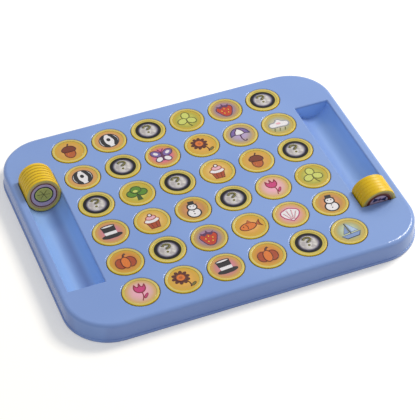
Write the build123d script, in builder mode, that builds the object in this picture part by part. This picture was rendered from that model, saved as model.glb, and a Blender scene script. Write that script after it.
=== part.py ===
from build123d import *
from math import cos, radians, sin
import os

# A picture-matching board game: a hollow plastic tray with six rows of six round pockets,
# a loose chip in every pocket and a trough at each end with a leaning row of spare chips.
# Millimetres. X runs along the rows, Y from the front row to the back row and Z up,
# with the origin on the table, under the middle of the tray.

# Chips
chip_diameter = 24.8
chip_thickness = 2.8
chip_edge_radius = 0.4
chip_rim_width = 1.9
chip_rim_edge_radius = 0.2
label_recess_depth = 0.35  # on both faces, inside the rim
label_thickness = 0.12
label_clearance = 0.1  # between the label's edge and the rim

# Pockets
columns = 6
rows = 6
pocket_clearance = 0.4  # all round the chip
pocket_bridge = 4.4  # deck between two neighbouring pockets
pocket_wall = 1.3
pocket_floor_thickness = 1.5
pocket_lip_radius = 0.9
chip_stand_out = 0.2  # how far a chip's rim stands above the deck

# Troughs
trough_clearance = 0.45  # trough radius less chip radius
trough_length = 114.0
trough_wall = 1.5
trough_ground_gap = 0.65  # between the underside of a trough and the table
trough_bridge = 5.4  # deck between the outer pockets and a trough
trough_strip = 3.6  # flat deck between a trough and the deck's rounded edge
trough_lip_radius = 1.0

# Rows of spare chips in the troughs
row_lean = 10.0  # degrees from upright, towards the end wall that a row rests against
chip_seat_gap = 0.3  # between a chip's edge and the bottom of the trough
end_wall_gap = 0.1  # between the first chip of a row and the rounded top of the end wall
left_row_chips = 7
left_row_gap = 0.06
right_row_chips = 6
right_row_gap = 0.12

# Deck and skirt
deck_thickness = 2.0
deck_corner_radius = 31.5
deck_edge_radius = 3.0
side_margin = 9.7  # from the outer pockets to the long sides of the deck
skirt_thickness = 2.0
skirt_spread = 0.6  # how far the foot of the skirt lies outside the deck's edge
bead_height = 2.4  # bead round the foot of the skirt
bead_stand_out = 0.5
bead_edge_radius = 0.6

# Sizes that follow
chip_radius = chip_diameter / 2
label_recess_radius = chip_radius - chip_rim_width
label_radius = label_recess_radius - label_clearance
pocket_radius = chip_radius + pocket_clearance
pocket_pitch = 2 * pocket_radius + pocket_bridge
pocket_depth = chip_thickness - chip_stand_out
trough_radius = chip_radius + trough_clearance
tray_height = trough_radius + trough_wall + trough_ground_gap
grid_length = (columns - 1) * pocket_pitch + 2 * pocket_radius
grid_width = (rows - 1) * pocket_pitch + 2 * pocket_radius
trough_offset = grid_length / 2 + trough_bridge + trough_radius
deck_length = 2 * (trough_offset + trough_radius + trough_strip + deck_edge_radius)
deck_width = grid_width + 2 * side_margin
tolerance = 0.01

os.makedirs("parts", exist_ok=True)


def deck_outline(growth):
    """Draw the deck's rounded rectangle, grown by this much all round."""
    RectangleRounded(
        deck_length + 2 * growth,
        deck_width + 2 * growth,
        deck_corner_radius + growth,
    )


def pocket_circles(radius):
    """Draw one circle over each pocket."""
    with GridLocations(pocket_pitch, pocket_pitch, columns, rows):
        Circle(radius)


def trough_sections(radius):
    """Draw the half-round section of both troughs, flat side up at the deck's top."""
    with Locations((-trough_offset, tray_height), (trough_offset, tray_height)):
        Circle(radius)
        Rectangle(2 * radius, radius, align=(Align.CENTER, Align.MIN), mode=Mode.SUBTRACT)


def is_pocket_lip(edge):
    """Whether an edge is the circle where a pocket meets the deck's top."""
    at_top = abs(edge.center().Z - tray_height) < tolerance
    return at_top and edge.geom_type == GeomType.CIRCLE and abs(edge.radius - pocket_radius) < tolerance


def is_trough_lip(edge):
    """Whether an edge is one of the straight sides of a trough's opening in the deck's top."""
    at_top = abs(edge.center().Z - tray_height) < tolerance
    long_side = abs(edge.length - trough_length) < tolerance
    short_side = abs(edge.length - 2 * trough_radius) < tolerance
    return at_top and edge.geom_type == GeomType.LINE and (long_side or short_side)


# Tray: one hollow moulding, open underneath
with BuildPart() as game_tray:
    # Bead round the foot
    with BuildSketch(Plane.XY):
        deck_outline(skirt_spread + bead_stand_out)
    extrude(amount=bead_height)
    fillet(game_tray.faces().filter_by(Axis.Z).edges(), bead_edge_radius)

    # Deck and skirt, solid at first
    with BuildSketch(Plane.XY):
        deck_outline(skirt_spread)
    with BuildSketch(Plane.XY.offset(tray_height)):
        deck_outline(0)
    loft(ruled=True)
    fillet(game_tray.faces().sort_by(Axis.Z)[-1].edges(), deck_edge_radius)

    # Hollow underside
    with BuildSketch(Plane.XY):
        deck_outline(skirt_spread - skirt_thickness)
    with BuildSketch(Plane.XY.offset(tray_height - deck_thickness)):
        deck_outline(-skirt_thickness)
    loft(ruled=True, mode=Mode.SUBTRACT)

    # Cups of the pockets under the deck, then the pockets
    with BuildSketch(Plane.XY.offset(tray_height - pocket_depth - pocket_floor_thickness)):
        pocket_circles(pocket_radius + pocket_wall)
    extrude(amount=pocket_depth + pocket_floor_thickness - deck_thickness / 2)
    with BuildSketch(Plane.XY.offset(tray_height - pocket_depth)):
        pocket_circles(pocket_radius)
    extrude(amount=pocket_depth, mode=Mode.SUBTRACT)

    # Half-round shells under the troughs, then the troughs
    with BuildSketch(Plane.XZ):
        trough_sections(trough_radius + trough_wall)
    extrude(amount=trough_length / 2 + trough_wall, both=True)
    with BuildSketch(Plane.XZ):
        trough_sections(trough_radius)
    extrude(amount=trough_length / 2, both=True, mode=Mode.SUBTRACT)

    # Rounded lips
    fillet(game_tray.edges().filter_by(is_pocket_lip), pocket_lip_radius)
    fillet(game_tray.edges().filter_by(is_trough_lip), trough_lip_radius)
game_tray.part.label = "game_tray"
export_step(game_tray.part, "parts/game_tray.step")

# Chip: a moulded disc with a raised rim on both faces
with BuildPart() as chip_disc:
    with BuildSketch(Plane.XZ) as section:
        with Locations((chip_radius / 2, 0)):
            Rectangle(chip_radius, chip_thickness)
        fillet(section.vertices().group_by(Axis.X)[-1], chip_edge_radius)
        for face_height in (chip_thickness / 2, -chip_thickness / 2):
            with Locations((label_recess_radius / 2, face_height)):
                Rectangle(label_recess_radius, 2 * label_recess_depth, mode=Mode.SUBTRACT)
        rim_corners = section.vertices().filter_by_position(
            Axis.X, label_recess_radius - tolerance, label_recess_radius + tolerance
        )
        fillet(rim_corners.sort_by(Axis.Y)[0], chip_rim_edge_radius)
        fillet(rim_corners.sort_by(Axis.Y)[-1], chip_rim_edge_radius)
    revolve(axis=Axis.Z)

# Labels: two thin printed discs, one glued down inside each rim
label_height = chip_thickness / 2 - label_recess_depth
with BuildPart() as upper_label:
    with BuildSketch(Plane.XY.offset(label_height)):
        Circle(label_radius)
    extrude(amount=label_thickness)
with BuildPart() as lower_label:
    mirror(upper_label.part, about=Plane.XY)

# Places of the chips, each a plane through the middle of the chip
chip_places = {}
for row in range(rows):
    for column in range(columns):
        pocket_x = (column - (columns - 1) / 2) * pocket_pitch
        pocket_y = ((rows - 1) / 2 - row) * pocket_pitch
        middle_height = tray_height + chip_stand_out - chip_thickness / 2
        chip_places[f"chip_row_{row + 1}_column_{column + 1}"] = Plane((pocket_x, pocket_y, middle_height))

# A row leans on the rounded top of an end wall, and every chip in it leans alike
lean_cos = cos(radians(row_lean))
lean_sin = sin(radians(row_lean))
row_height = tray_height - trough_radius + chip_seat_gap
row_height += chip_radius * lean_cos + chip_thickness / 2 * lean_sin
lip_middle = trough_length / 2 + trough_lip_radius
lip_height = tray_height - trough_lip_radius
reach = lip_middle * lean_cos - lip_height * lean_sin - trough_lip_radius - end_wall_gap
first_middle = (reach - chip_thickness / 2 + row_height * lean_sin) / lean_cos

for number in range(left_row_chips):
    back = first_middle - number * (chip_thickness + left_row_gap) / lean_cos
    place = Plane((-trough_offset, back, row_height), x_dir=(1, 0, 0), z_dir=(0, -lean_cos, lean_sin))
    chip_places[f"left_trough_chip_{number + 1}"] = place
for number in range(right_row_chips):
    front = number * (chip_thickness + right_row_gap) / lean_cos - first_middle
    place = Plane((trough_offset, front, row_height), x_dir=(1, 0, 0), z_dir=(0, -lean_cos, -lean_sin))
    chip_places[f"right_trough_chip_{number + 1}"] = place

for name, place in chip_places.items():
    chip_pieces = (chip_disc.part, upper_label.part, lower_label.part)
    chip = Compound([piece.solid().moved(place.location) for piece in chip_pieces])
    chip.label = name
    export_step(chip, f"parts/{name}.step")
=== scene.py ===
import math

import bmesh
import bpy
from mathutils import Matrix, Vector


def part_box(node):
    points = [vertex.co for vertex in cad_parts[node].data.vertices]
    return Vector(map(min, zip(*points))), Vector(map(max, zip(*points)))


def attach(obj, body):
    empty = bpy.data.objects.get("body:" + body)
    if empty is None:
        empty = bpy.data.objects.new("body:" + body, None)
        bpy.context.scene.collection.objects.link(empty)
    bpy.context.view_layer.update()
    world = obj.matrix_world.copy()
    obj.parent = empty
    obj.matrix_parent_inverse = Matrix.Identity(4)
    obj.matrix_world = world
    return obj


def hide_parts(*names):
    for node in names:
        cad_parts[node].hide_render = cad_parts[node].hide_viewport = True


# A picture-matching board game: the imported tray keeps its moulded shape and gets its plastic,
# and every chip is modelled in full, with a picture printed on one face and a question mark on
# the other. Lengths are in metres.

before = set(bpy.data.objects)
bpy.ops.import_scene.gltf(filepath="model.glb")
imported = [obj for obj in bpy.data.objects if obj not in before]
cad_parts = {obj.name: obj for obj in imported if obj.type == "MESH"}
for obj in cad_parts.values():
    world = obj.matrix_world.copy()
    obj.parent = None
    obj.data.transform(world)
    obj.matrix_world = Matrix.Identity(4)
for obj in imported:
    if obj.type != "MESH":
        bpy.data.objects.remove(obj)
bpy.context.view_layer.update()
bpy.ops.object.select_all(action="DESELECT")

MM = 0.001

# The chip, with the overall sizes of a packed one
chip_low, chip_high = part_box("chip_row_1_column_1")
chip_radius = (chip_high.x - chip_low.x) / 2
chip_thickness = chip_high.z - chip_low.z
chip_edge_radius = 0.4 * MM
rim_width = 1.9 * MM
rim_edge_radius = 0.22 * MM
recess_depth = 0.35 * MM
label_gap = 0.1 * MM
label_thickness = 0.12 * MM
label_height = chip_thickness / 2 - recess_depth + label_thickness
row_lean = math.radians(10)
tolerance = 0.02 * MM

# The tray, from its middle
deck_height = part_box("game_tray")[1].z
deck_half_length = 125.5 * MM
deck_half_width = 97.5 * MM
trough_middle = 106 * MM
trough_half_length = 57 * MM


# ---------------------------------------------------------------- shader maths


class Value:
    """A shader socket that arithmetic works on."""

    def __init__(self, finish, socket):
        self.finish = finish
        self.socket = socket

    def maths(self, operation, *others):
        sockets = {i: v for i, v in enumerate((self, *others))}
        return self.finish.node("ShaderNodeMath", {"operation": operation}, sockets)

    def __add__(self, other):
        return self.maths("ADD", other)

    __radd__ = __add__

    def __sub__(self, other):
        return self.maths("SUBTRACT", other)

    def __rsub__(self, other):
        return self * -1 + other

    def __mul__(self, other):
        return self.maths("MULTIPLY", other)

    __rmul__ = __mul__

    def __truediv__(self, other):
        return self.maths("DIVIDE", other)

    def smooth_step(self, start, end):
        """0 below start, 1 above end and a soft turn between them."""
        settings = {"interpolation_type": "SMOOTHSTEP"}
        return self.finish.node("ShaderNodeMapRange", settings, {"Value": self, 1: start, 2: end})


class Finish:
    """One material and the nodes that it is made of."""

    def __init__(self, name):
        self.material = bpy.data.materials.new(name)
        self.material.use_nodes = True
        self.tree = self.material.node_tree
        self.shader = self.tree.nodes["Principled BSDF"]

    def node(self, kind, settings=None, sockets=None, output=0):
        """Add a node, give it its settings and the values or links of its sockets."""
        made = self.tree.nodes.new(kind)
        for name, setting in (settings or {}).items():
            setattr(made, name, setting)
        for name, value in (sockets or {}).items():
            self.feed(made.inputs[name], value)
        return Value(self, made.outputs[output])

    def feed(self, socket, value):
        if isinstance(value, Value):
            self.tree.links.new(value.socket, socket)
        else:
            socket.default_value = value

    def place(self, output="Object"):
        """Where a point is, on the object or on its own map."""
        return self.node("ShaderNodeTexCoord", output=output)

    def noise(self, place, scale, detail=2.0):
        """Soft clouds or a fine grain, from 0 to 1."""
        sockets = {"Vector": place, "Scale": scale, "Detail": detail}
        return self.node("ShaderNodeTexNoise", sockets=sockets)

    def mix(self, share, first, second):
        """A colour between two colours."""
        sockets = {"Factor": share, 6: first, 7: second}
        return self.node("ShaderNodeMix", {"data_type": "RGBA"}, sockets, output=2)

    def bump(self, height, strength, distance):
        """A surface that a height roughens."""
        sockets = {"Height": height, "Strength": strength, "Distance": distance}
        return self.node("ShaderNodeBump", sockets=sockets)

    def surface(self, **sockets):
        """Feed the shader, with words such as base_color for its sockets."""
        for word, value in sockets.items():
            label = word.replace("_", " ").title().replace("Ior", "IOR")
            self.feed(self.shader.inputs[label], value)
        return self.material


def linear(value):
    """The linear value of one 8-bit screen value."""
    share = value / 255
    return share / 12.92 if value <= 10 else ((share + 0.055) / 1.055) ** 2.4


def colour(red, green, blue):
    """A colour given as 8-bit screen values, in the linear values that shaders take."""
    return linear(red), linear(green), linear(blue), 1.0


# ---------------------------------------------------------------- materials


def trough_bounce_masks(side, across, along, height):
    """Where the troughs get painted bounce light, and how far a point is on their right-hand walls or end
    walls, which are in shade and get the most of it.
    """
    outward = across - trough_middle
    past_end = along - trough_half_length
    shaded_wall_bounce = (side * outward).smooth_step(3 * MM, 9 * MM)
    shaded_wall_bounce = shaded_wall_bounce.maths("MAXIMUM", past_end.smooth_step(-1 * MM, 0.0))
    bounce_share = outward.smooth_step(-8 * MM, 8 * MM).maths("MAXIMUM", shaded_wall_bounce)
    bounce_share = bounce_share * outward.smooth_step(-14 * MM, -12.8 * MM) * outward.smooth_step(15 * MM, 12.5 * MM)
    bounce_share = bounce_share * past_end.smooth_step(1.5 * MM, 0.5 * MM)
    bounce_share = bounce_share * (height - deck_height).smooth_step(0.01 * MM, -2.5 * MM)
    return bounce_share, shaded_wall_bounce


def skirt_shade_mask(across, along, height):
    """Where the skirt is, below the rounded edge of the deck, which gets painted shade."""
    at_ends = (across - deck_half_length).smooth_step(-4 * MM, -1.5 * MM)
    at_sides = (along - deck_half_width).smooth_step(-3.5 * MM, -1 * MM)
    below_deck = (height - deck_height).smooth_step(-0.3 * MM, -3 * MM)
    return at_ends.maths("MAXIMUM", at_sides) * below_deck


def moulded_tray():
    """Periwinkle plastic with a soft sheen and a fine grain, and painted shade on the skirt.

    The troughs are painted lighter, as painted bounce light, and most of all on the walls that look away from
    the lamp, which are in shade.
    """
    finish = Finish("moulded_tray")
    place = finish.place()
    clouds = finish.noise(place, 14.0)
    grain = finish.noise(place, 2600.0, 3.0)
    tone = clouds.smooth_step(0.3, 0.7)
    across, along, height = (
        finish.node("ShaderNodeSeparateXYZ", sockets={0: place}, output=axis) for axis in range(3)
    )
    side = across.maths("SIGN")
    across = across.maths("ABSOLUTE")
    along = along.maths("ABSOLUTE")
    trough_bounce, shaded_wall_bounce = trough_bounce_masks(side, across, along, height)
    body = finish.mix(tone, colour(129, 156, 210), colour(135, 162, 214))
    # The skirt's darker colour is painted shade on the walls, not a different plastic.
    skirt_shade = finish.mix(tone, colour(121, 145, 199), colour(127, 151, 204))
    # The lighter trough colours are painted bounce light, lightest on the shaded right-hand walls and end
    # walls.
    trough = finish.mix(tone, colour(142, 177, 227), colour(148, 182, 230))
    trough = finish.mix(shaded_wall_bounce, trough, colour(153, 191, 245))
    outside = finish.mix(skirt_shade_mask(across, along, height), body, skirt_shade)
    return finish.surface(
        base_color=finish.mix(trough_bounce, outside, trough),
        roughness=0.16 + tone * 0.04 + grain * 0.05,
        normal=finish.bump(grain, 0.1, 0.05 * MM),
        specular_ior_level=0.44,
    )


def moulded_chip():
    """Yellow plastic, with painted sheen that makes the raised rims paler than the deeper coloured sides."""
    finish = Finish("moulded_chip")
    place = finish.place()
    flow = finish.noise(place, 60.0)
    grain = finish.noise(place, 3000.0)
    radius, _ = label_radius(finish)
    on_side = radius.smooth_step(0.955, 0.985)
    streaks = flow.smooth_step(0.35, 0.65)
    # The paler rim colour is painted sheen; the side colour is the plastic's own.
    rim_sheen = finish.mix(streaks, colour(204, 183, 86), colour(212, 192, 108))
    side = finish.mix(streaks, colour(228, 184, 2), colour(234, 192, 10))
    return finish.surface(
        base_color=finish.mix(on_side, rim_sheen, side),
        roughness=0.17 + flow * 0.08 + on_side * 0.21,
        normal=finish.bump(grain, 0.08, 0.04 * MM),
        specular_ior_level=0.4,
    )


def label_radius(finish):
    """Distance from the middle of a label, in chip radii, and the place on the label's map."""
    place = finish.place("UV")
    to_chip_radii = {0: place, 1: (2.0, 2.0, 0.0), 2: (-1.0, -1.0, 0.0)}
    centred = finish.node("ShaderNodeVectorMath", {"operation": "MULTIPLY_ADD"}, to_chip_radii)
    return finish.node("ShaderNodeVectorMath", {"operation": "LENGTH"}, {0: centred}, output=1), place


def picture_ground(name, middle, edge):
    """Printed ground of a picture label: a soft spot of colour that turns yellow at the edge."""
    finish = Finish(f"label_{name}")
    radius, place = label_radius(finish)
    height = finish.node("ShaderNodeSeparateXYZ", sockets={0: place}, output=1)
    print_clouds = finish.noise(place, 9.0, 4.0)
    wobble = (print_clouds - 0.5) * 0.22
    spot = (radius + wobble - height * 0.16).smooth_step(0.16, 0.6)
    ground = finish.mix(spot, middle, edge)
    ringed = finish.mix((radius + wobble * 0.2).smooth_step(0.56, 0.8) * 0.6, ground, colour(206, 164, 30))
    fibre = finish.noise(place, 160.0)
    return finish.surface(
        base_color=ringed, roughness=0.34 + fibre * 0.1, normal=finish.bump(fibre, 0.06, 0.03 * MM)
    )


def question_ground():
    """Printed ground of the question side: a black ring round a cloudy silver middle."""
    finish = Finish("label_question")
    radius, place = label_radius(finish)
    clouds = finish.noise(place, 7.0, 4.0)
    wobble = (clouds - 0.5) * 0.1
    silver = finish.mix(clouds.smooth_step(0.35, 0.65), colour(176, 168, 166), colour(218, 212, 204))
    shade = finish.mix((radius + wobble).smooth_step(0.42, 0.57), silver, colour(90, 84, 108))
    ring = finish.mix((radius + wobble).smooth_step(0.53, 0.62), shade, colour(16, 12, 14))
    ringed = finish.mix(radius.smooth_step(0.735, 0.775), ring, colour(200, 180, 84))
    fibre = finish.noise(place, 160.0)
    return finish.surface(
        base_color=ringed,
        roughness=0.32 + fibre * 0.1,
        normal=finish.bump(fibre, 0.06, 0.03 * MM),
        specular_ior_level=0.25,
    )


def printed_ink(name, shade):
    """One printed colour, slightly mottled."""
    finish = Finish(f"ink_{name}")
    mottle = finish.noise(finish.place(), 1400.0)
    darker = tuple(0.8 * v for v in shade[:3]) + (1.0,)
    body = finish.mix(mottle.smooth_step(0.3, 0.7), darker, shade)
    return finish.surface(base_color=body, roughness=0.36 + mottle * 0.1)


tray_plastic = moulded_tray()
chip_plastic = moulded_chip()
question_label = question_ground()
inks = {
    name: printed_ink(name, colour(*shade))
    for name, shade in {
        "black": (22, 18, 24),
        "navy": (36, 34, 84),
        "white": (240, 234, 232),
        "grey": (176, 176, 178),
        "brown": (118, 46, 16),
        "dark_brown": (84, 26, 12),
        "tan": (186, 92, 36),
        "orange": (226, 120, 40),
        "red": (196, 60, 26),
        "rust": (172, 70, 28),
        "crimson": (150, 30, 48),
        "magenta": (206, 60, 120),
        "pink": (238, 178, 186),
        "purple": (122, 96, 160),
        "plum": (92, 44, 84),
        "green": (88, 136, 30),
        "dark_green": (52, 78, 22),
        "olive": (122, 118, 46),
        "moss": (198, 192, 92),
        "mauve": (204, 174, 190),
        "lime": (208, 212, 104),
        "gold": (112, 104, 40),
        "silver": (222, 216, 212),
        "blue_grey": (128, 152, 196),
        "pale_blue": (178, 200, 224),
        "yellow": (246, 214, 60),
    }.items()
}


# ---------------------------------------------------------------- modelling helpers


def choose(piece, mode, test):
    """In edit mode, select the faces whose middle and normal, or the edges whose ends, pass a test."""
    bpy.ops.mesh.select_mode(type=mode)
    bpy.ops.mesh.select_all(action="DESELECT")
    mesh = bmesh.from_edit_mesh(piece.data)
    if mode == "FACE":
        for face in mesh.faces:
            face.select_set(test(face.calc_center_median(), face.normal))
    else:
        for edge in mesh.edges:
            edge.select_set(all(test(corner.co) for corner in edge.verts))
    bmesh.update_edit_mesh(piece.data)


def settle(piece):
    """Put a piece's place into its mesh and leave its object at the origin."""
    bpy.ops.object.select_all(action="DESELECT")
    piece.select_set(True)
    bpy.context.view_layer.objects.active = piece
    bpy.ops.object.transform_apply(location=True, rotation=True, scale=True)


def join(pieces, name):
    """Join pieces into the first of them."""
    bpy.ops.object.select_all(action="DESELECT")
    for piece in pieces:
        piece.select_set(True)
    bpy.context.view_layer.objects.active = pieces[0]
    if len(pieces) > 1:
        bpy.ops.object.join()
    pieces[0].name = name
    return pieces[0]


def copy_of(piece):
    """A copy of a piece with its own mesh."""
    made = piece.copy()
    made.data = piece.data.copy()
    bpy.context.collection.objects.link(made)
    return made


# ---------------------------------------------------------------- blank chip


def model_blank_chip():
    """A disc with a rounded rim and a glued label on both faces, lying round the origin."""
    bpy.ops.mesh.primitive_cylinder_add(
        vertices=64, radius=chip_radius, depth=chip_thickness, end_fill_type="NGON"
    )
    chip = bpy.context.object
    chip.name = "blank_chip"
    for finish in (chip_plastic, question_label, question_label):
        chip.data.materials.append(finish)
    bpy.ops.object.mode_set(mode="EDIT")
    for side in (1, -1):
        choose(chip, "FACE", lambda middle, normal: normal.z * side > 0.9)
        bpy.ops.mesh.inset(thickness=rim_width)
        bpy.ops.mesh.extrude_region_move(TRANSFORM_OT_translate={"value": (0, 0, -side * recess_depth)})
        bpy.ops.mesh.inset(thickness=label_gap)
        bpy.ops.mesh.extrude_region_move(TRANSFORM_OT_translate={"value": (0, 0, side * label_thickness)})
        chip.active_material_index = 1 if side > 0 else 2
        bpy.ops.object.material_slot_assign()

    def on_face_edge(radius):
        return lambda corner: (
            abs(corner.xy.length - radius) < tolerance
            and abs(abs(corner.z) - chip_thickness / 2) < tolerance
        )

    choose(chip, "EDGE", on_face_edge(chip_radius - rim_width))
    bpy.ops.mesh.bevel(offset=rim_edge_radius, segments=2, affect="EDGES")
    choose(chip, "EDGE", on_face_edge(chip_radius))
    bpy.ops.mesh.bevel(offset=chip_edge_radius, segments=4, affect="EDGES")
    bpy.ops.object.mode_set(mode="OBJECT")
    bpy.ops.object.shade_smooth_by_angle(angle=math.radians(40))
    chart = chip.data.uv_layers.active or chip.data.uv_layers.new(name="UVMap")
    for face in chip.data.polygons:
        side = 1 if face.center.z > 0 else -1
        for corner in face.loop_indices:
            spot = chip.data.vertices[chip.data.loops[corner].vertex_index].co
            chart.data[corner].uv = (
                0.5 + side * spot.x / chip_radius / 2,
                0.5 + spot.y / chip_radius / 2,
            )
    return chip


# ---------------------------------------------------------------- prints


class Print:
    """A picture in flat layers of ink on a label, on a square of two by two units."""

    unit = 1.42 * chip_radius
    layer_step = 0.011 * MM
    ink_thickness = 0.02 * MM

    def __init__(self, name):
        self.name = name
        self.shapes = []

    def lay(self, curve, ink, flatness=1.0):
        """Turn a curve into a layer of ink above the layers so far."""
        shape = bpy.data.objects.new("shape", curve)
        bpy.context.collection.objects.link(shape)
        bpy.ops.object.select_all(action="DESELECT")
        shape.select_set(True)
        bpy.context.view_layer.objects.active = shape
        bpy.ops.object.convert(target="MESH")
        shape = bpy.context.object
        shape.data.materials.clear()
        shape.data.materials.append(inks[ink])
        shape.scale.z = flatness
        shape.location.z = label_height + self.layer_step * (len(self.shapes) + 1)
        settle(shape)
        self.shapes.append(shape)

    def spline(self, points, form, corners, closed):
        """A smooth curve through points, straight into and out of the corners that are named."""
        curve = bpy.data.curves.new("shape", "CURVE")
        curve.dimensions = form
        curve.resolution_u = 4
        line = curve.splines.new("BEZIER")
        line.bezier_points.add(len(points) - 1)
        for number, (knot, (x, y)) in enumerate(zip(line.bezier_points, points)):
            knot.co = (x * self.unit, y * self.unit, 0)
            kind = "VECTOR" if number in corners else "AUTO"
            knot.handle_left_type = knot.handle_right_type = kind
        line.use_cyclic_u = closed
        return curve

    def blob(self, points, ink, edge=None, corners=(), width=0.022):
        """A filled shape, with an outline in another ink if edge names one."""
        curve = self.spline(points, "2D", corners, True)
        curve.fill_mode = "BOTH"
        curve.extrude = self.ink_thickness / 2
        self.lay(curve, ink)
        if edge:
            self.line([*points], edge, width, corners, closed=True)

    def line(self, points, ink, width=0.022, corners=(), closed=False):
        """A drawn line."""
        curve = self.spline(points, "3D", corners, closed)
        curve.bevel_depth = width * self.unit
        curve.bevel_resolution = 0
        curve.use_fill_caps = not closed
        self.lay(curve, ink, flatness=self.ink_thickness / 2 / curve.bevel_depth)

    def oval(self, x, y, wide, tall, ink, edge=None, turn=0.0, width=0.022):
        """A filled oval, turned by an angle in degrees."""
        spin = math.radians(turn)
        points = []
        for step in range(8):
            across = wide * math.cos(step * math.pi / 4)
            along = tall * math.sin(step * math.pi / 4)
            points.append((
                x + across * math.cos(spin) - along * math.sin(spin),
                y + across * math.sin(spin) + along * math.cos(spin),
            ))
        self.blob(points, ink, edge, width=width)

    @staticmethod
    def around(count, reach, first=0.0):
        """Places spaced evenly round the middle, with the angle of each in degrees."""
        for step in range(count):
            angle = first + 360 * step / count
            yield reach * math.cos(math.radians(angle)), reach * math.sin(math.radians(angle)), angle

    def finished(self):
        """All the layers as one piece."""
        return join(self.shapes, self.name)


def acorn(art):
    art.oval(0.0, -0.12, 0.22, 0.3, "tan", "brown")
    art.line([(-0.08, 0.02), (-0.1, -0.26)], "orange", 0.018)
    cap = [(-0.28, 0.02), (-0.22, 0.22), (0, 0.3), (0.22, 0.22), (0.28, 0.02), (0, -0.05)]
    art.blob(cap, "brown", "dark_brown")
    art.line([(0, 0.3), (0.07, 0.45)], "dark_brown", 0.03)


def striped_ball(art):
    art.oval(0, 0, 0.4, 0.4, "white", "black")
    left = [(-0.08, 0.39), (-0.27, 0.28), (-0.3, -0.22), (-0.1, -0.38), (-0.17, -0.1), (-0.15, 0.2)]
    right = [(0.1, 0.38), (0.3, 0.2), (0.34, -0.15), (0.14, -0.37), (0.2, -0.05), (0.14, 0.2)]
    art.blob(left, "black")
    art.blob(right, "black")
    art.oval(0.0, 0.06, 0.08, 0.1, "black")


def clover(art):
    for x, y, angle in art.around(3, 0.22, 90):
        art.oval(x, y + 0.06, 0.21, 0.17, "lime", "olive", angle)
    art.line([(0, 0.02), (0.03, -0.22), (0.14, -0.42)], "olive", 0.025)


def strawberry(art):
    body = [(0, -0.42), (0.3, -0.08), (0.33, 0.16), (0.12, 0.26), (-0.12, 0.26), (-0.33, 0.16), (-0.3, -0.08)]
    art.blob(body, "red", "plum")
    crown = [(-0.28, 0.34), (-0.1, 0.26), (0, 0.44), (0.1, 0.26), (0.28, 0.34)]
    art.blob([*crown, (0.14, 0.12), (0, 0.2), (-0.14, 0.12)], "plum", corners=(0, 2, 4))
    for x, y, _ in art.around(5, 0.15, 18):
        art.oval(x, y - 0.07, 0.022, 0.034, "yellow")


def butterfly(art):
    for side in (-1, 1):
        art.oval(side * 0.24, 0.16, 0.24, 0.17, "purple", "plum", side * 38)
        art.oval(side * 0.17, -0.19, 0.17, 0.13, "white", "plum", side * -40)
        art.oval(side * 0.25, 0.17, 0.11, 0.07, "white", None, side * 38)
        art.line([(side * 0.02, 0.26), (side * 0.12, 0.42)], "plum", 0.018)
    art.oval(0, -0.02, 0.045, 0.28, "plum")


def sunflower(art):
    art.line([(0.06, -0.05), (0.16, -0.3), (0.12, -0.46)], "dark_brown", 0.025)
    art.oval(0.27, -0.36, 0.12, 0.05, "olive", "dark_brown", 30, 0.014)
    for x, y, angle in art.around(10, 0.25):
        art.oval(x - 0.06, y + 0.12, 0.11, 0.075, "dark_brown", None, angle)
    art.oval(-0.06, 0.12, 0.18, 0.18, "orange", "brown")
    art.oval(-0.06, 0.12, 0.07, 0.07, "tan")


def umbrella(art):
    art.line([(0, 0.1), (0, -0.34), (0.08, -0.42), (0.15, -0.34)], "plum", 0.026)
    dome = [(-0.42, -0.02), (-0.3, 0.28), (0, 0.42), (0.3, 0.28), (0.42, -0.02)]
    art.blob([*dome, (0.2, 0.05), (0, -0.02), (-0.2, 0.05)], "purple", "navy", (0, 4, 6))
    panel = [(0, 0.4), (0.16, 0.2), (0.2, 0.04), (0, -0.01), (-0.2, 0.04), (-0.16, 0.2)]
    art.blob(panel, "white", "plum", (0, 2, 3, 4))


def cloud(art):
    top = [(-0.4, -0.1), (-0.34, 0.1), (-0.16, 0.14), (0, 0.32), (0.2, 0.2), (0.4, 0.14), (0.42, -0.06)]
    art.blob([*top, (0.0, -0.15)], "white", "grey", width=0.03)
    for x in (-0.22, 0.0, 0.22):
        art.line([(x, -0.22), (x - 0.05, -0.4)], "olive", 0.022)
    art.oval(0.0, 0.06, 0.1, 0.06, "pink")


def tree(art):
    art.blob([(-0.06, 0), (-0.1, -0.42), (0.12, -0.42), (0.06, 0)], "dark_green", None, (0, 1, 2, 3))
    for x, y in ((-0.2, 0.02), (0.2, 0.02), (0.0, 0.2)):
        art.oval(x, y, 0.22, 0.19, "green", "dark_green")
    art.oval(-0.04, 0.12, 0.1, 0.07, "lime")


def cupcake(art):
    art.blob([(-0.26, -0.06), (-0.18, -0.42), (0.18, -0.42), (0.26, -0.06)], "rust", "brown", (0, 1, 2, 3))
    for x in (-0.08, 0.08):
        art.line([(x * 1.3, -0.1), (x, -0.4)], "brown", 0.014)
    art.oval(0, 0.02, 0.31, 0.14, "white", "tan")
    art.oval(0.02, 0.18, 0.21, 0.12, "pink", "tan")
    art.oval(0.03, 0.32, 0.08, 0.08, "white", "brown")


def top_hat(art):
    art.oval(0, -0.2, 0.42, 0.13, "black")
    art.blob([(-0.24, -0.16), (-0.28, 0.34), (0.28, 0.34), (0.24, -0.16)], "black", None, (0, 1, 2, 3))
    art.blob([(-0.24, -0.12), (-0.25, 0.04), (0.25, 0.04), (0.24, -0.12)], "white", None, (0, 1, 2, 3))
    art.oval(0, 0.34, 0.27, 0.06, "white", "black")


def snowman(art):
    art.oval(0, -0.2, 0.27, 0.25, "white", "black", width=0.03)
    art.oval(0, 0.14, 0.19, 0.17, "white", "black", width=0.03)
    hat = [(-0.24, 0.26), (-0.13, 0.3), (-0.11, 0.46), (0.13, 0.46), (0.13, 0.3), (0.24, 0.26)]
    art.blob(hat, "black", corners=range(6))
    for x, y in ((-0.07, 0.17), (0.07, 0.17), (0, -0.12), (0, -0.26)):
        art.oval(x, y, 0.028, 0.028, "black")


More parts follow.
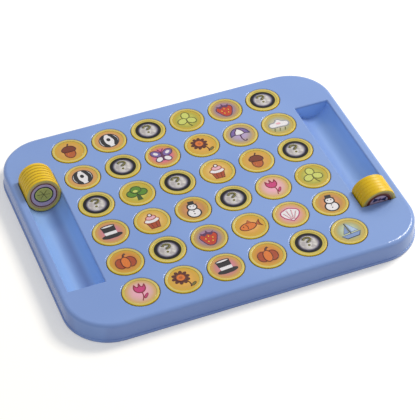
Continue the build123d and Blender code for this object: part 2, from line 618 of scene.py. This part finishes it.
def tulip(art):
    art.line([(0.02, 0.06), (0.06, -0.2), (-0.02, -0.46)], "crimson", 0.022)
    art.oval(0.16, -0.24, 0.14, 0.045, "magenta", "crimson", 55, 0.014)
    left = [(0, -0.04), (-0.2, 0.1), (-0.18, 0.4), (-0.07, 0.25), (0.02, 0.44)]
    art.blob([*left, (0.1, 0.25), (0.22, 0.38), (0.2, 0.08)], "magenta", "crimson", (2, 4, 6))


def pumpkin(art):
    for side in (-1, 1):
        art.oval(side * 0.19, -0.06, 0.21, 0.27, "rust", "brown")
    art.oval(0, -0.06, 0.17, 0.3, "orange", "brown")
    art.line([(0, 0.22), (0.03, 0.34), (0.12, 0.4)], "dark_brown", 0.04)


def fish(art):
    art.blob([(0.24, 0), (0.46, 0.2), (0.4, 0), (0.46, -0.2)], "tan", "brown", (0, 1, 3))
    art.oval(-0.08, 0, 0.34, 0.19, "orange", "brown")
    art.blob([(-0.1, 0.17), (0.04, 0.32), (0.14, 0.14)], "tan", "brown", (0, 1, 2), 0.014)
    art.oval(-0.26, 0.05, 0.03, 0.03, "dark_brown")
    art.line([(-0.14, 0.13), (-0.1, 0), (-0.14, -0.13)], "brown", 0.016)


def shell(art):
    left = [(0, -0.38), (-0.34, -0.06), (-0.36, 0.16), (-0.18, 0.28), (0, 0.34)]
    art.blob([*left, (0.18, 0.28), (0.36, 0.16), (0.34, -0.06)], "white", "magenta", (0,), 0.024)
    for x, y in ((-0.26, 0.12), (-0.1, 0.24), (0.1, 0.24), (0.26, 0.12)):
        art.line([(x * 0.2, -0.28), (x, y)], "pink", 0.024)


def sailboat(art):
    art.blob([(-0.4, -0.16), (-0.26, -0.36), (0.26, -0.36), (0.4, -0.16)], "blue_grey", "navy", (0, 1, 2, 3))
    art.line([(0, -0.16), (0, 0.44)], "navy", 0.022)
    art.blob([(0.05, 0.42), (0.34, -0.08), (0.05, -0.08)], "pale_blue", "blue_grey", (0, 1, 2))
    art.blob([(-0.05, 0.3), (-0.28, -0.08), (-0.05, -0.08)], "blue_grey", "navy", (0, 1, 2), 0.016)


def lime_slice(art):
    art.oval(0, 0.02, 0.53, 0.51, "mauve", "brown", width=0.022)
    art.oval(0, 0.05, 0.4, 0.35, "black")
    art.oval(0, 0.05, 0.35, 0.3, "lime")
    art.oval(0, 0.05, 0.31, 0.26, "moss")
    for x, y in ((0.26, 0.0), (0.12, 0.19), (-0.14, 0.18)):
        art.line([(x, 0.05 + y), (0, 0.06), (-x, 0.05 - y)], "olive", 0.014)


def bow_tie(art):
    art.oval(0, 0, 0.45, 0.45, "mauve", "brown", width=0.065)
    for side in (-1, 1):
        art.blob([(0, 0.16), (side * 0.28, 0.3), (side * 0.28, 0.04)], "navy", None, (0, 1, 2))
    art.oval(0, 0.17, 0.06, 0.08, "plum")
    art.oval(0, -0.2, 0.2, 0.12, "white", "plum")


def question_mark(art):
    hook = [(-0.15, 0.17), (-0.11, 0.26), (0.02, 0.29), (0.13, 0.22), (0.09, 0.12)]
    hook += [(0.01, 0.07), (-0.01, 0.0)]
    for ink, width, dot in (("silver", 0.085, 0.09), ("gold", 0.048, 0.056)):
        art.line(hook, ink, width)
        art.oval(-0.02, -0.12, dot, dot, ink)


def star(art):
    points = []
    for step in range(10):
        reach = 0.4 if step % 2 == 0 else 0.17
        angle = math.radians(90 + 36 * step)
        points.append((reach * math.cos(angle), reach * math.sin(angle)))
    art.blob(points, "orange", "brown", range(10))


def moon(art):
    outer = [(0.1, 0.38), (-0.22, 0.28), (-0.34, 0), (-0.22, -0.28), (0.1, -0.38)]
    art.blob([*outer, (-0.06, -0.16), (-0.06, 0.16)], "white", "navy", (0, 4), 0.026)
    art.oval(0.2, 0.12, 0.05, 0.05, "white", "navy", width=0.014)


def leaf(art):
    blade = [(-0.26, -0.3), (-0.28, 0.06), (0.0, 0.3), (0.34, 0.36), (0.3, 0), (0.06, -0.26)]
    art.blob(blade, "green", "dark_green", (0, 3))
    art.line([(-0.38, -0.42), (-0.1, -0.12), (0.24, 0.26)], "dark_green", 0.02)


def heart(art):
    half = [(0.2, 0.3), (0.38, 0.14), (0.26, -0.14)]
    left = [(-x, y) for x, y in reversed(half)]
    art.blob([(0, 0.18), *half, (0, -0.38), *left], "crimson", "plum", (0, 4))
    art.oval(-0.18, 0.14, 0.07, 0.05, "pink", None, 35)


def kite(art):
    art.line([(0, -0.2), (0.1, -0.32), (0.02, -0.38), (0.12, -0.48)], "navy", 0.018)
    art.blob([(0, 0.46), (0.27, 0.14), (0, -0.24), (-0.27, 0.14)], "pale_blue", "navy", (0, 1, 2, 3))
    art.blob([(0, 0.46), (0.27, 0.14), (0, 0.14)], "orange", None, (0, 1, 2))
    art.blob([(0, 0.14), (-0.27, 0.14), (0, -0.24)], "magenta", None, (0, 1, 2))


# ---------------------------------------------------------------- chips

pictures = {
    acorn: (colour(220, 162, 80), colour(206, 155, 68)),
    striped_ball: (colour(220, 142, 116), colour(206, 147, 102)),
    clover: (colour(204, 196, 80), colour(168, 163, 60)),
    strawberry: (colour(170, 122, 172), colour(154, 125, 124)),
    butterfly: (colour(222, 88, 156), colour(204, 119, 110)),
    sunflower: (colour(230, 168, 66), colour(208, 159, 66)),
    umbrella: (colour(176, 154, 188), colour(166, 147, 132)),
    cloud: (colour(196, 186, 162), colour(166, 163, 112)),
    tree: (colour(208, 198, 86), colour(182, 167, 56)),
    cupcake: (colour(234, 192, 116), colour(212, 169, 82)),
    top_hat: (colour(208, 122, 146), colour(196, 131, 110)),
    snowman: (colour(208, 138, 92), colour(184, 131, 72)),
    tulip: (colour(234, 168, 182), colour(214, 169, 152)),
    pumpkin: (colour(220, 132, 56), colour(198, 131, 56)),
    fish: (colour(230, 170, 88), colour(208, 155, 56)),
    shell: (colour(232, 148, 172), colour(210, 153, 134)),
    sailboat: (colour(186, 196, 166), colour(162, 163, 114)),
    lime_slice: (colour(190, 172, 192), colour(178, 155, 170)),
    bow_tie: (colour(170, 152, 172), colour(142, 111, 114)),
    star: (colour(226, 142, 166), colour(206, 149, 114)),
    moon: (colour(144, 132, 192), colour(164, 143, 134)),
    leaf: (colour(230, 206, 116), colour(204, 175, 74)),
    heart: (colour(234, 182, 186), colour(212, 167, 124)),
    kite: (colour(194, 212, 186), colour(182, 181, 114)),
}

# Pictures in the pockets, from the back row to the front one and from left to right.
# A name in brackets is a chip that lies face down.
pocket_pictures = (
    (acorn, striped_ball, (butterfly,), clover, strawberry, (umbrella,)),
    (striped_ball, (star,), butterfly, sunflower, umbrella, cloud),
    ((cloud,), tree, (fish,), cupcake, acorn, (moon,)),
    (top_hat, cupcake, snowman, (tree,), tulip, clover),
    (pumpkin, (shell,), strawberry, fish, shell, snowman),
    (tulip, sunflower, top_hat, pumpkin, (sailboat,), sailboat),
)
left_row_pictures = (leaf, heart, kite, bow_tie, lime_slice, star, lime_slice)
right_row_pictures = (bow_tie, moon, leaf, heart, kite, star)


turned_over = Matrix.Rotation(math.pi, 4, "Y")
on_edge = Matrix(((1, 0, 0, 0), (0, 0, -1, 0), (0, 1, 0, 0), (0, 0, 0, 1)))


def small_turn(most, step):
    """A chip's own small turn, in degrees up to the most, that varies from step to step."""
    return math.radians(most * math.sin(step))


def model_patterns():
    """One chip for every picture, with the picture above and the question mark below."""
    blank = model_blank_chip()
    art = Print("question_mark")
    question_mark(art)
    mark = art.finished()
    mark.data.transform(turned_over)
    patterns = {}
    for draw, (middle, edge) in pictures.items():
        art = Print(draw.__name__)
        draw(art)
        parts = [copy_of(blank), art.finished(), copy_of(mark)]
        parts[0].data.materials[1] = picture_ground(draw.__name__, middle, edge)
        patterns[draw] = join(parts, f"pattern_{draw.__name__}")
    for leftover in (blank, mark):
        bpy.data.objects.remove(leftover)
    return patterns


def chip_stances():
    """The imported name, the picture and the turn of every chip."""
    for row, pictures_in_row in enumerate(pocket_pictures):
        for column, picture in enumerate(pictures_in_row):
            face_down = isinstance(picture, tuple)
            turn = Matrix.Rotation(small_turn(6, 2.3 * row + 1.7 * column), 4, "Z")
            name = f"chip_row_{row + 1}_column_{column + 1}"
            if face_down:
                yield name, picture[0], turn @ turned_over
            else:
                yield name, picture, turn
    for side, row_pictures in (("left", left_row_pictures), ("right", right_row_pictures)):
        lean = Matrix.Rotation(-row_lean if side == "left" else row_lean, 4, "X")
        for number, picture in enumerate(row_pictures, 1):
            turn = Matrix.Rotation(small_turn(9, 2.1 * number), 4, "Y")
            yield f"{side}_trough_chip_{number}", picture, lean @ turn @ on_edge


def make_chips():
    """Stand a modelled chip in the place of every packed one."""
    patterns = model_patterns()
    for name, picture, stance in chip_stances():
        low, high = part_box(name)
        chip = copy_of(patterns[picture])
        chip.name = f"{name}_printed"
        chip.data.transform(Matrix.Translation((low + high) / 2) @ stance)
        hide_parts(name)
        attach(chip, name)
    for pattern in patterns.values():
        bpy.data.objects.remove(pattern)


# ---------------------------------------------------------------- floor, lights and camera


# Rays by which the floor and the white behind everything are seen, straight or in a gloss
seen_rays = ("Is Camera Ray", "Is Glossy Ray", "Is Transmission Ray")


def lay_floor():
    """A wide white floor that keeps the tray's shadow."""
    bpy.ops.mesh.primitive_plane_add(size=8.0)
    floor = bpy.context.object
    floor.name = "floor"
    finish = Finish("floor_white")
    rays = [finish.node("ShaderNodeLightPath", output=ray) for ray in seen_rays]
    glow = finish.mix(rays[0] + rays[1] + rays[2], colour(0, 0, 0), colour(144, 140, 133))
    paper = finish.surface(
        base_color=colour(244, 241, 235),
        roughness=0.9,
        emission_color=glow,
        emission_strength=1.0,
        specular_ior_level=0.0,
    )
    floor.data.materials.append(paper)


def light_world(strength):
    """An even sky, with white behind everything that is looked at."""
    world = bpy.data.worlds.new("studio")
    bpy.context.scene.world = world
    world.use_nodes = True
    tree = world.node_tree
    sky = tree.nodes["Background"]
    sky.inputs["Color"].default_value = (0.9, 0.97, 1.1, 1.0)
    sky.inputs["Strength"].default_value = strength
    white = tree.nodes.new("ShaderNodeBackground")
    paths = tree.nodes.new("ShaderNodeLightPath")
    seen = paths.outputs[seen_rays[0]]
    for ray in seen_rays[1:]:
        either = tree.nodes.new("ShaderNodeMath")
        either.operation = "MAXIMUM"
        tree.links.new(seen, either.inputs[0])
        tree.links.new(paths.outputs[ray], either.inputs[1])
        seen = either.outputs[0]
    choice = tree.nodes.new("ShaderNodeMixShader")
    tree.links.new(seen, choice.inputs[0])
    tree.links.new(sky.outputs[0], choice.inputs[1])
    tree.links.new(white.outputs[0], choice.inputs[2])
    tree.links.new(choice.outputs[0], tree.nodes["World Output"].inputs[0])


def hang_lamp(name, direction, distance, size, power):
    """A square soft lamp that looks at the tray from a direction."""
    towards = Vector(direction).normalized()
    facing = towards.to_track_quat("Z", "Y").to_euler()
    bpy.ops.object.light_add(type="AREA", location=towards * distance, rotation=facing)
    lamp = bpy.context.object
    lamp.name = name
    lamp.data.size = size
    lamp.data.energy = power
    lamp.data.color = (1.0, 0.96, 0.88)


def stand_camera():
    """A long lens that looks down on the tray from the front left."""
    azimuth, elevation, roll = (math.radians(angle) for angle in (-21.057, 43.492, -0.87))
    aim = Vector((-0.0045, -0.0201, deck_height))
    distance = 1.12
    facing = (
        Matrix.Rotation(azimuth, 4, "Z")
        @ Matrix.Rotation(math.pi / 2 - elevation, 4, "X")
        @ Matrix.Rotation(roll, 4, "Z")
    )
    towards = facing @ Vector((0, 0, 1))
    bpy.ops.object.camera_add()
    camera = bpy.context.object
    camera.matrix_world = Matrix.Translation(aim + towards * distance) @ facing
    camera.data.sensor_width = 36.0
    camera.data.lens = 139.77
    bpy.context.scene.camera = camera


game_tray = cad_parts["game_tray"]
game_tray.data.materials.clear()
game_tray.data.materials.append(tray_plastic)
make_chips()
lay_floor()
light_world(strength=0.51)
hang_lamp("key_lamp", direction=(0.97, 0.38, 1.06), distance=1.6, size=0.5, power=18.5)
stand_camera()
bpy.context.scene.view_settings.view_transform = "Standard"
